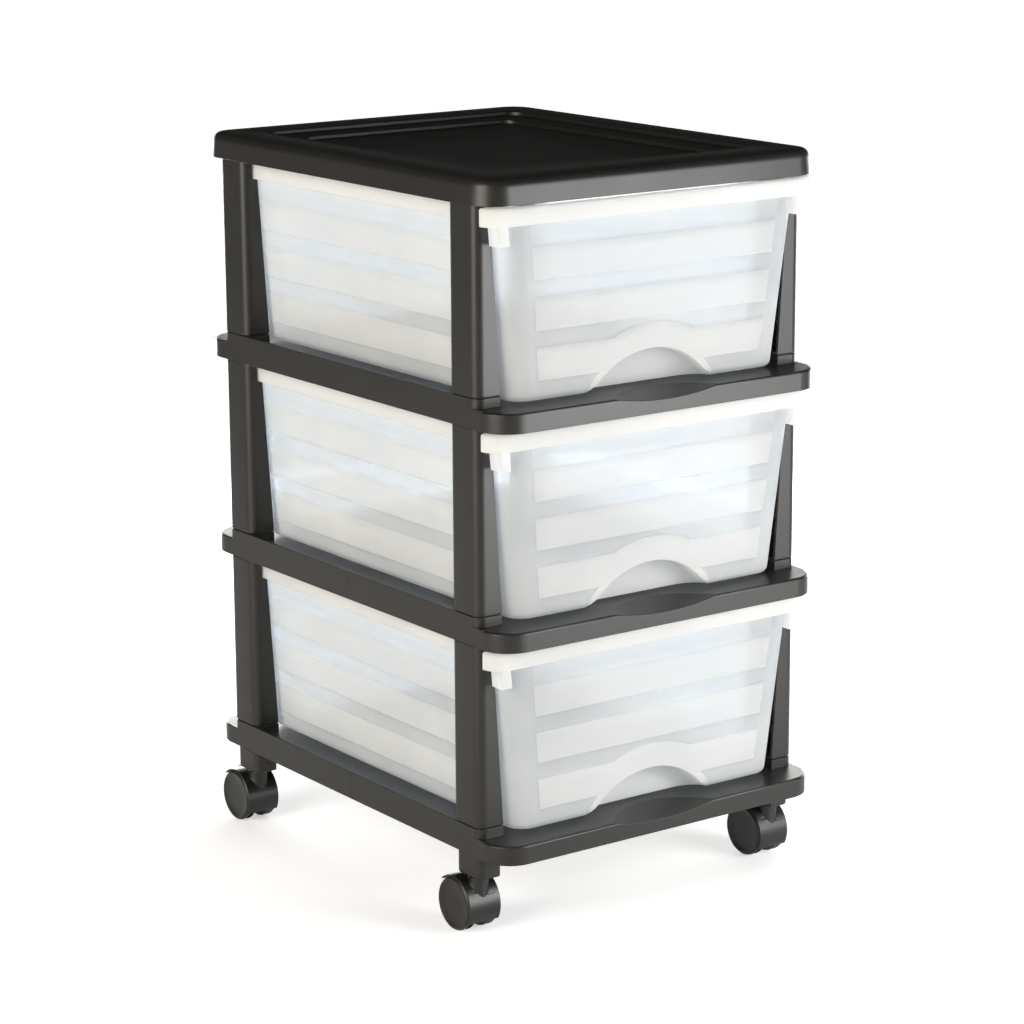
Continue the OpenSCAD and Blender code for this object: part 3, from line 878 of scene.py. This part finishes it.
        # painted highlight: shine is the raised frost of a band's lower ledge, fading into the band above
        # it
        shine = 1 + (painted_glint - 1) * np.clip(gap / 3, 0, 1)
        border = self.border_milk * foot
        knots = [
            (one * self.foot_r, foot, border, 0),
            (arch, foot, border, -1),
            (flank, foot, border, 3),
            (flank + slope, strip, strip, 1),
            (low_edge - slope, strip, strip, 3),
            (low_edge, one, shine, 1),
            (low_edge + 0.02 * self.band_h, one, 0.5 + 0.5 * shine, 1),
            (low_edge + 0.04 * self.band_h, one, one, 1),
            (upper, one, one, 3),
            (upper + ledge, none, none, 1),
        ]
        for number in (1, 2):
            start = self.band_low + number * self.band_pitch
            knots += [
                (one * (start - ledge), none, none, 3),
                # painted highlight: raised frost on this band's lower ledge
                (one * start, one, painted_glint * one, 1),
                (one * (start + ledge), one, one, 1),
                (one * (start + self.band_h), one, one, 3),
                (one * (start + self.band_h + ledge), none, none, 1),
            ]
        return knots + [(one * self.body_h, none, 0.3 * one, 3)]

    def outer_wall(self) -> tuple[np.ndarray, np.ndarray]:
        """Rings of the outer wall from the bottom edge up to the rim, and their frosting, which holds
        painted light at the band edges and towards the underside.

        A point is the drafted, rounded ring of its height, moved out by band_out where it is raised,
        and on the front moved back to the finger pull where that lies deeper.
        """
        c = self.columns
        front = c.edge == 0
        flat = self.wall_ring(self.half_at(np.array(self.band_low)))
        knots = self.knots(flat[:, 0], front)
        rows = [knots[0][:3]]
        for before, after in zip(knots, knots[1:]):
            count = after[3]
            shares = np.linspace(0, 1, count + 1)[1:] if count > 0 else 1 - self.roll_rows
            rows += [tuple(a * (1 - t) + b * t for a, b in zip(before[:3], after[:3])) for t in shares]
        z, up, frost_and_painted_glow = (np.array(group) for group in zip(*rows))
        facets = 6
        z, inset = self.rounded_foot(z, 0.0, self.foot_r, facets)
        up, frost_and_painted_glow = (np.concatenate([np.repeat(a[:1], facets, 0), a]) * c.middle for a in (up, frost_and_painted_glow))
        plan = self.sheet(z, inset, 0.0)
        plan += c.normal * (self.band_out * up)[..., None]
        deep = self.foot_front + self.recess(plan[..., 0], z)
        inside = np.where(front, self.within(plan[..., 0], z), -1.0)
        soft = smooth_step(np.clip(inside / self.roll_edge, 0, 1))
        plan[..., 1] += np.maximum(deep - plan[..., 1], 0) * soft
        frost_and_painted_glow = np.where(inside > 0, self.pull_milk, frost_and_painted_glow)
        # painted glow: frost grows towards the underside, for light that the wall carries down to its foot
        frost_and_painted_glow = frost_and_painted_glow + self.painted_foot_glow * np.clip(1 - z / self.foot_reach, 0, 1)
        return lifted(plan, z), frost_and_painted_glow

    @staticmethod
    def rounded_foot(
        z: np.ndarray, base: float, radius: float, facets: int
    ) -> tuple[np.ndarray, np.ndarray]:
        """Puts a quarter circle's rows under rows of heights, and returns heights and insets of all."""
        turn = np.linspace(0, np.pi / 2, facets + 1)[:-1, None]
        foot = base + radius * (1 - np.cos(turn)) + 0 * z[:1]
        inset = np.concatenate([radius * (1 - np.sin(turn)) + 0 * foot, 0 * z])
        return np.concatenate([foot, z]), inset

    def wall_ring(self, half: np.ndarray, inset: float = 0.0) -> np.ndarray:
        """Plan of one level ring of the wall with these half sizes, moved inwards by inset."""
        radius = np.array(self.body_r - inset)
        return self.columns.ring(half - inset, radius, self.centre, self.margin - inset)

    def sheet(self, z: np.ndarray, inset: np.ndarray, grow: float) -> np.ndarray:
        """Plan of the wall at every row and column, for heights that differ from column to column.

        Args:
            z: Heights (rows, columns).
            inset: How far each point lies inside the drafted wall.
            grow: Wall thickness that is taken off.

        Returns:
            Array (rows, columns, 2).
        """
        half = self.half_at(z) - inset[..., None] - grow
        radius = (self.body_r - inset - grow)[..., None]
        border = self.margin - inset[..., None] - grow
        return self.columns.place(half, radius, self.centre, border)

    def inner_wall(self) -> tuple[np.ndarray, np.ndarray]:
        """Rings of the inner wall from the rim down to the floor's fillet, and their frosting."""
        front = self.columns.edge == 0
        flat = self.wall_ring(self.half_at(np.array(self.band_low)))
        floor = self.wall + self.fillet
        arch = np.where(front, np.maximum(self.arch(flat[:, 0], self.wall), floor), floor)
        upper = np.full_like(arch, self.pull_h + self.pull_cover)
        share = np.sin(np.linspace(0, 1, 11)[:, None] * np.pi / 2)
        rows = [floor * (1 - share) + arch * share]
        for start, end, count in ((arch, upper, 4), (upper, np.full_like(arch, self.body_h), 5)):
            share = np.linspace(0, 1, count + 1)[1:, None]
            rows.append(start * (1 - share) + end * share)
        z, inset = self.rounded_foot(np.concatenate(rows), self.wall, self.fillet, 4)
        plan = self.sheet(z, inset, self.wall)
        deep = self.foot_front + self.recess(plan[..., 0], z, self.wall)
        inside = self.within(plan[..., 0], z, self.wall)
        plan[..., 1] += np.where(front & (inside > 0), np.maximum(deep - plan[..., 1], 0), 0)
        rings = lifted(plan, z)[::-1]
        return rings, np.full(rings.shape[:2], self.inside_milk)

    # -- rim

    def rim_plan(self) -> tuple[np.ndarray, np.ndarray]:
        """Outline of the rim at every column, and its outward direction.

        The front flange is as wide as the tower and ends in front of the posts; behind it the rim
        steps in to the notches. The margins of the two side edges next to the front hold the step: a
        convex quarter circle and then a concave one.
        """
        c = self.columns
        plan, normal = np.zeros((len(c.edge), 2)), c.normal.copy()
        flange_w = self.high[0]
        front_y, flange_y = self.low[1], self.low[1] + self.flange_depth
        top = self.wall_ring(self.top_half)
        straight = self.top_half[0] - self.body_r
        rear_r = self.body_r + 3
        side_end = self.high[1] - rear_r
        front = (flange_w, self.flange_r, front_y, front_y + self.flange_r)
        rear = (self.rim_half_w, rear_r, self.high[1], side_end)
        for edge, (half_w, radius, end_y, _) in ((0, front), (2, rear)):
            on = c.edge == edge
            plan[on, 0] = top[on, 0] / straight * (half_w - radius)
            plan[on, 1] = end_y
        for edge in (-1, -2, -3, -4):
            on = c.edge == edge
            side = np.sign(c.share[on][0])
            half_w, radius, _, centre_y = front if side[1] < 0 else rear
            plan[on] = np.array([side[0] * (half_w - radius), centre_y]) + radius * c.normal[on]
        quarter = np.linspace(0, np.pi / 2, 4)
        cos, sin = np.cos(quarter), np.sin(quarter)
        convex, concave = self.step_out, self.step_in
        for edge, sign in ((1, 1), (3, -1)):
            numbers = np.flatnonzero(c.edge == edge)
            if sign < 0:
                numbers = numbers[::-1]
            first, second, rest = numbers[:4], numbers[4:8], numbers[8:]
            plan[first, 0] = sign * (flange_w - convex + convex * cos)
            plan[first, 1] = flange_y - convex + convex * sin
            normal[first] = np.stack([sign * cos, sin], -1)
            plan[second, 0] = sign * (self.rim_half_w + concave - concave * sin)
            plan[second, 1] = flange_y + concave - concave * cos
            normal[second] = np.stack([sign * sin, cos], -1)
            plan[rest, 0] = sign * self.rim_half_w
            plan[rest, 1] = np.linspace(flange_y + concave, side_end, len(rest) + 2)[1:-1]
            normal[rest] = np.array([sign, 0.0])
        return plan, normal

    def rim(self) -> tuple[np.ndarray, np.ndarray]:
        """Rings from the top of the outer wall, under the ledge, round the skirt and into the cavity."""
        plan, normal = self.rim_plan()
        top, low = self.height, self.body_h
        under = top - self.wall
        soft, bend = 0.5, 0.3  # edges under the skirt, and the share of them where they bend
        crown = 1.5  # round over the skirt
        lip, lip_bend = 0.8, 0.25  # edge inside the rim, and where it bends
        turn = np.linspace(0, np.pi / 2, 5)
        wall, turned = self.wall, soft * bend
        profile = [(wall, under), (wall, low + soft), (wall - turned, low + turned), (wall - soft, low)]
        profile += [(soft, low), (turned, low + turned), (0.0, low + soft)]
        profile += [(crown * (1 - math.cos(a)), top - crown + crown * math.sin(a)) for a in turn]
        rings = [lifted(self.wall_ring(self.top_half), z) for z in (low + 6, under)]
        rings += [lifted(plan - normal * inset, z) for inset, z in profile]
        for inset, z in ((wall - lip, top), (wall - lip_bend, top - lip_bend), (wall, top - lip)):
            rings.append(lifted(self.wall_ring(self.top_half, inset), z))
        rings = np.array(rings)
        return rings, np.full(rings.shape[:2], self.rim_milk)

    def lugs(self) -> Surface:
        """Two stop blocks that hang from the ends of the front flange and lean in with the body."""
        width, depth, drop = self.stop
        y = self.low[1] + self.flange_depth - depth / 2
        blocks = []
        for sign in (-1, 1):
            x = self.rim_half_w + self.stop_out - width / 2
            low = self.body_h - drop
            block = round_block((width / 2, depth / 2), (sign * x, y), low, self.body_h + 1.5, 1.5, 0.8)
            lean = self.side_draft / self.body_h * (block.points[:, 2] - self.body_h)
            block.points[:, 0] += sign * lean
            block.frost_and_painted_glow[:] = self.lug_milk
            blocks.append(block)
        return blocks[0].joined(blocks[1])

    def surface(self) -> Surface:
        """Joins all rows into one skin in the drawer's place, with the stop lugs."""
        outer, outer_frost_and_glow = self.outer_wall()
        rim, rim_frost = self.rim()
        inner, inner_frost = self.inner_wall()
        shares = np.array([1e-6, 0.3, 0.6, 0.9])[:, None, None]
        pole = np.array([*self.centre, 0.0])
        bottom = pole + (outer[0] - pole) * shares
        pole = np.array([*self.centre, self.wall])
        floor = pole + (inner[-1] - pole) * shares[::-1]
        rings = np.concatenate([bottom, outer, rim, inner, floor])
        plain = np.full((len(shares), rings.shape[1]), self.floor_milk)
        frost_and_painted_glow = np.concatenate([plain, outer_frost_and_glow, rim_frost, inner_frost, plain])
        skin = Surface.from_rings(rings, frost_and_painted_glow).joined(self.lugs())
        return skin.moved((0, 0, self.low[2]))

    def build(self, finish: Material) -> Object:
        """Makes the drawer's piece, which rides on its own body."""
        node = f"{self.tier.value}_drawer"
        piece = new_object(f"{node}_moulding", self.surface(), finish, 58)
        return enlist(piece, node, [node])


# ---------------------------------------------------------------- frame


@dataclass
class TopCover:
    """The cover: drafted skirt, rounded upper edge, flat border and a tray that goes down in two steps."""

    corner_r: float = 22.0
    draft: float = 1.0
    round_run: float = 7.0
    tray_border: tuple[float, float] = (31.0, 36.0)
    tray_r: float = 14.0
    tray_step: float = 20.0
    tray_depth: float = 3.5
    tray_edge: float = 0.9
    skirt: float = 2.9
    plate: float = 2.6
    boss_w: float = 10.0

    def step_down(self, half: np.ndarray, radius: float, high: float, low: float) -> list[tuple]:
        """Rings of one step of the tray: a rounded edge, an upright wall and a fillet at its foot."""
        turn = np.linspace(0, np.pi / 2, 4)
        edge = self.tray_edge
        rows = []
        for inset, z in zip(edge * np.sin(turn), high - edge * (1 - np.cos(turn))):
            rows.append((inset - edge, z))
        for inset, z in zip(edge * (1 - np.cos(turn)), low + edge * (1 - np.sin(turn))):
            rows.append((inset, z))
        return [(half[0] - inset, half[1] - inset, radius - inset, z) for inset, z in rows]

    def boss(self, corner: Corner, top: float) -> Surface:
        """Block inside the cover that sits on the outer part of a post's head, from the post's box."""
        low, high = box_mm(f"top_post_{corner.value}")
        inwards = 1 if low[0] < 0 else -1
        outer = low[0] if low[0] < 0 else high[0]
        half = (self.boss_w / 2, (high[1] - low[1]) / 2)
        place = (outer + inwards * (self.boss_w / 2 + 0.3), (low[1] + high[1]) / 2)
        return round_block(half, place, 0.0, top, 2.0, 0.4)

    def surface(self) -> Surface:
        """Rings from the middle of the underside out round the skirt and over the edge into the tray."""
        low, high = box_mm("top_cover")
        half = (high - low)[:2] / 2
        centre = (high + low)[:2] / 2
        height = high[2] - low[2]
        tray = half - np.array(self.tray_border)
        inner = tray - self.tray_step
        step, floor = height - self.tray_depth, height - 2 * self.tray_depth
        under = height - self.plate
        pan, pan_low = tray + 2.4, under - 2 * self.tray_depth
        top_low = height - self.round_run
        run = self.round_run - self.draft

        def at(inset: float, z: float) -> tuple[float, float, float, float]:
            """Ring that lies inset inside the skirt, at height z."""
            return (half[0] - inset, half[1] - inset, max(self.corner_r - inset, 4.0), z)

        rows = [(pan[0] * s, pan[1] * s, (self.tray_r + 2) * s, pan_low) for s in (1e-5, 0.5, 1.0)]
        rows += [(pan[0], pan[1], self.tray_r + 2, under), at(self.skirt + 5.0, under)]
        rows += [at(self.skirt, 11.0), at(self.skirt, 0.3), at(self.skirt - 0.3, 0.0), at(0.3, 0.0)]
        rows += [at(0.0, 0.3)]
        for a in np.linspace(0, np.pi / 2, 9):
            rows.append(at(self.draft + run * (1 - math.cos(a)), top_low + self.round_run * math.sin(a)))
        rows += self.step_down(tray, self.tray_r, height, step)
        rows += self.step_down(inner, self.tray_r - 2, step, floor)
        rows += [(inner[0] * s, inner[1] * s, (self.tray_r - 3) * s, floor) for s in (0.6, 0.25, 1e-5)]
        cover = stack(plain_columns(16), rows, centre)
        for corner in Corner:
            cover = cover.joined(self.boss(corner, under + 0.5))
        return cover.moved((0, 0, low[2]))

    def build(self, finish: Material) -> Object:
        """Makes the cover's piece."""
        piece = new_object("top_cover_moulding", self.surface(), finish)
        return enlist(piece, FRAME_BODY, ["top_cover"])


@dataclass
class TowerFrame:
    """Shelves, posts and caster sockets: copies of the frame's nodes with moulded edges.

    Each shelf also has the fine ridge that its tool's parting line leaves in the middle of both sides.
    """

    shelf_edge: float = 0.45
    shelf_brim: float = 1.8  # round upper edge of a shelf's front and rear
    post_edge: float = 0.4
    socket_edge: float = 1.6
    parting: tuple[float, float] = (0.5, 0.15)  # width and height of a shelf's parting line

    def parting_line(self, shelf: str) -> Surface:
        """Two fine upright ridges in the middle of a shelf's side faces."""
        low, high = box_mm(shelf)
        width, proud = self.parting
        ridges = []
        for side, sign in ((low[0], -1), (high[0], 1)):
            place = (side - sign * (1.0 - proud), 0.0)
            ridges.append(round_block((1.0, width / 2), place, low[2] + 1, high[2] - 1, 0.2, 0.1))
        return ridges[0].joined(ridges[1])

    def build(self, finish: Material) -> None:
        """Makes a softened copy of every shelf, post and socket."""
        for shelf in ("upper_shelf", "lower_shelf", "base_shelf"):
            edges = (self.shelf_edge, self.shelf_brim, 3)
            bevelled_copy(shelf, f"{shelf}_moulding", finish, FRAME_BODY, Slot.BLACK, *edges)
            line = new_object(f"{shelf}_parting_line", self.parting_line(shelf), finish)
            enlist(line, FRAME_BODY)
        for tier in Tier:
            for corner in Corner:
                node = f"{tier.value}_post_{corner.value}"
                bevelled_copy(node, f"{node}_moulding", finish, FRAME_BODY, Slot.BLACK, self.post_edge)
        for corner in Corner:
            node = f"{corner.value}_socket"
            bevelled_copy(node, f"{node}_block", finish, FRAME_BODY, Slot.BLACK, self.socket_edge)


# ---------------------------------------------------------------- casters


@dataclass
class Wheel:
    """One nylon wheel: a turned shape about its axle, with a shallow dished face inside a raised rim."""

    corner: Corner
    hand: Hand
    tread_round: float = 2.2
    rim_w: float = 3.0
    dish: float = 0.6
    cup_wall: float = 3.4
    face_t: float = 2.6  # thickness of the outer face
    hub_r: float = 4.9
    soft: float = 0.3  # chamfer of the edges on the inner side
    facets: int = 96

    def profile(self, radius: float, width: float) -> np.ndarray:
        """Points (along the axle from the inner side, distance from the axle), from axis to axis."""
        turn = np.linspace(0, np.pi / 2, 5)
        edge, soft, cup, floor = self.tread_round, self.soft, radius - self.cup_wall, width - self.face_t
        inner = [(0.0, 0.0), (0.0, self.hub_r - soft), (soft, self.hub_r), (floor, self.hub_r)]
        inner += [(floor, cup), (soft, cup), (0.0, cup + soft)]
        inner += [(edge * (1 - math.sin(a)), radius - edge * (1 - math.cos(a))) for a in turn]
        outer = [(width - edge * (1 - math.cos(a)), radius - edge * (1 - math.sin(a))) for a in turn[::-1]]
        face = radius - self.rim_w
        outer += [(width, face + 0.4), (width - 0.15, face), (width - self.dish, face - 0.7)]
        outer += [(width - self.dish - 0.25, face * 0.55), (width - self.dish - 0.35, 0.0)]
        return np.array(inner + outer)

    def build(self, finish: Material) -> Object:
        """Carries the profile round the axle and makes the wheel's piece."""
        node = f"{self.corner.value}_wheel_{self.hand.name.lower()}"
        low, high = box_mm(node)
        centre, radius = (low + high) / 2, (high[2] - low[2]) / 2
        start = low[0] if self.hand is Hand.RIGHT else high[0]
        along, out = self.profile(radius, high[0] - low[0]).T
        turn = np.arange(self.facets) * 2 * np.pi / self.facets
        rings = np.stack(
            [
                np.broadcast_to(start + self.hand.value * along[:, None], (len(along), len(turn))),
                centre[1] + out[:, None] * np.cos(turn),
                centre[2] + out[:, None] * np.sin(turn),
            ],
            -1,
        )
        piece = new_object(f"{node}_tyre", Surface.from_rings(rings), finish)
        return enlist(piece, node, [node])


@dataclass
class Caster:
    """A swivel caster: hood, two wheels, axle and stem."""

    corner: Corner
    hood_edge: float = 0.45

    def build(self, nylon: Material, steel: Material) -> None:
        """Makes the hood and the wheels, and finishes the steel pieces."""
        name = self.corner.value
        shell = f"{name}_hood_shell"
        bevelled_copy(f"{name}_hood", shell, nylon, f"{name}_caster", Slot.CASTER, self.hood_edge)
        for hand in Hand:
            Wheel(self.corner, hand).build(nylon)
        for kind in ("stem", "grip_ring", "axle"):
            finish_node(f"{name}_{kind}", steel)


def finish_node(node: str, finish: Material) -> None:
    """Gives a CAD node that keeps showing its material."""
    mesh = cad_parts[node].data
    mesh.materials.clear()
    mesh.materials.append(finish)
    LOG.info("%s: carried over with %s", node, finish.name)


# ---------------------------------------------------------------- studio


@dataclass(frozen=True)
class Softbox:
    """A rectangular lamp that faces the tower.

    Attributes:
        name: Name of the lamp.
        turn: Where it stands, in degrees round the tower: 0 is the front, 90 the right side.
        away: Distance from the tower's axis in metres.
        height: Height of its middle in metres.
        size: Width and height in metres.
        radiance: Brightness of its face, where 1 looks white.
        colour: sRGB hex colour.
    """

    name: str
    turn: float
    away: float
    height: float
    size: tuple[float, float]
    radiance: float
    colour: str = "#ffffff"

    def build(self, target: Sequence[float]) -> None:
        """Adds the lamp, aimed at target."""
        angle = math.radians(self.turn)
        place = Vector((self.away * math.sin(angle), -self.away * math.cos(angle), self.height))
        data = bpy.data.lights.new(self.name, "AREA")
        data.shape = "RECTANGLE"
        data.size, data.size_y = self.size
        data.energy = math.pi * self.radiance * self.size[0] * self.size[1]
        data.color = linear(self.colour)[:3]
        lamp = put(self.name, data)
        lamp.location = place
        lamp.rotation_euler = (Vector(target) - place).to_track_quat("-Z", "Y").to_euler()
        lamp.visible_camera = False


@dataclass
class Studio:
    """Floor, lamps, world and the camera that took the photograph."""

    floor_reach: float = 12.0  # metres to the sweep at the floor's edge
    sweep_r: float = 1.5
    room: str = "#343434"
    target: tuple[float, float, float] = (0.0, 0.0, 0.28)
    softboxes: tuple[Softbox, ...] = (
        Softbox("key", 26.0, 1.15, 0.36, (0.54, 0.62), 10.8),
        Softbox("left", -78.0, 1.9, 0.80, (1.2, 1.2), 7.5, "#fff8ec"),
        Softbox("right", 115.0, 1.3, 0.27, (1.1, 0.5), 8.0, "#fffdf9"),
        Softbox("rear", 158.0, 1.35, 0.27, (1.2, 0.5), 10.5),
    )
    focal_px: float = 3153.46
    frame_px: float = 1024.0
    sensor: float = 36.0
    camera_at: tuple[float, float, float] = (-1.35638, -1.89747, 0.81937)
    yaw: float = 35.67
    pitch: float = 13.468
    roll: float = -0.319

    def floor(self, paper: Material) -> None:
        """A wide round floor under the wheels, whose edge bends up in a quarter circle."""
        turn = np.linspace(0, 2 * np.pi, 129)[:-1]
        bend = np.linspace(0, np.pi / 2, 9)
        away = np.concatenate([[1e-6, 2.0], self.floor_reach + self.sweep_r * np.sin(bend)]) / MM
        height = np.concatenate([[0.0, 0.0], self.sweep_r * (1 - np.cos(bend))]) / MM
        rings = np.stack(
            [
                away[:, None] * np.cos(turn),
                away[:, None] * np.sin(turn),
                np.broadcast_to(height[:, None], (len(away), len(turn))),
            ],
            -1,
        )
        new_object("studio_floor", Surface.from_rings(rings), paper)

    def light(self) -> None:
        """Sets a dim even room, which is white only to the camera and through walls, and the lamps."""
        world = bpy.data.worlds.new("studio")
        graph = Graph(world, "ShaderNodeOutputWorld")
        room = graph.add("ShaderNodeBackground", {"Color": linear(self.room), "Strength": 1.0})
        white = graph.add("ShaderNodeBackground", {"Color": WHITE, "Strength": 1.0})
        graph.show(graph.mixed(graph.seen(), room, white))
        bpy.context.scene.world = world
        for softbox in self.softboxes:
            softbox.build(self.target)

    def camera(self) -> None:
        """Places the camera by the photograph's fitted view."""
        yaw, pitch, roll = (math.radians(a) for a in (self.yaw, self.pitch, self.roll))
        ahead = Vector((math.sin(yaw) * math.cos(pitch), math.cos(yaw) * math.cos(pitch), -math.sin(pitch)))
        level = Vector((math.cos(yaw), -math.sin(yaw), 0.0))
        upright = level.cross(ahead)
        right = math.cos(roll) * level + math.sin(roll) * upright
        up = -math.sin(roll) * level + math.cos(roll) * upright
        turn = Matrix((right, up, -ahead)).transposed()
        data = bpy.data.cameras.new("photo_camera")
        data.sensor_width = self.sensor
        data.lens = self.sensor * self.focal_px / self.frame_px
        data.clip_end = 100
        camera = put("photo_camera", data)
        camera.matrix_world = Matrix.Translation(self.camera_at) @ turn.to_4x4()
        bpy.context.scene.camera = camera

    def build(self) -> None:
        """Builds the studio."""
        self.floor(StudioPaper().build())
        self.light()
        self.camera()
        bpy.context.scene.view_settings.view_transform = "Standard"


def main() -> None:
    """Builds the studio and every sub-assembly in order."""
    logging.basicConfig(level=logging.INFO, format="%(name)s: %(message)s")
    Studio().build()
    black = MouldedPolypropylene().build()
    nylon = SatinNylon().build()
    steel = ZincPlatedSteel().build()
    clear = FrostedPolypropylene().build()
    TowerFrame().build(black)
    TopCover().build(black)
    for tier in Tier:
        Drawer(tier).build(clear)
    for corner in Corner:
        Caster(corner).build(nylon, steel)


if __name__ == "__main__":
    main()
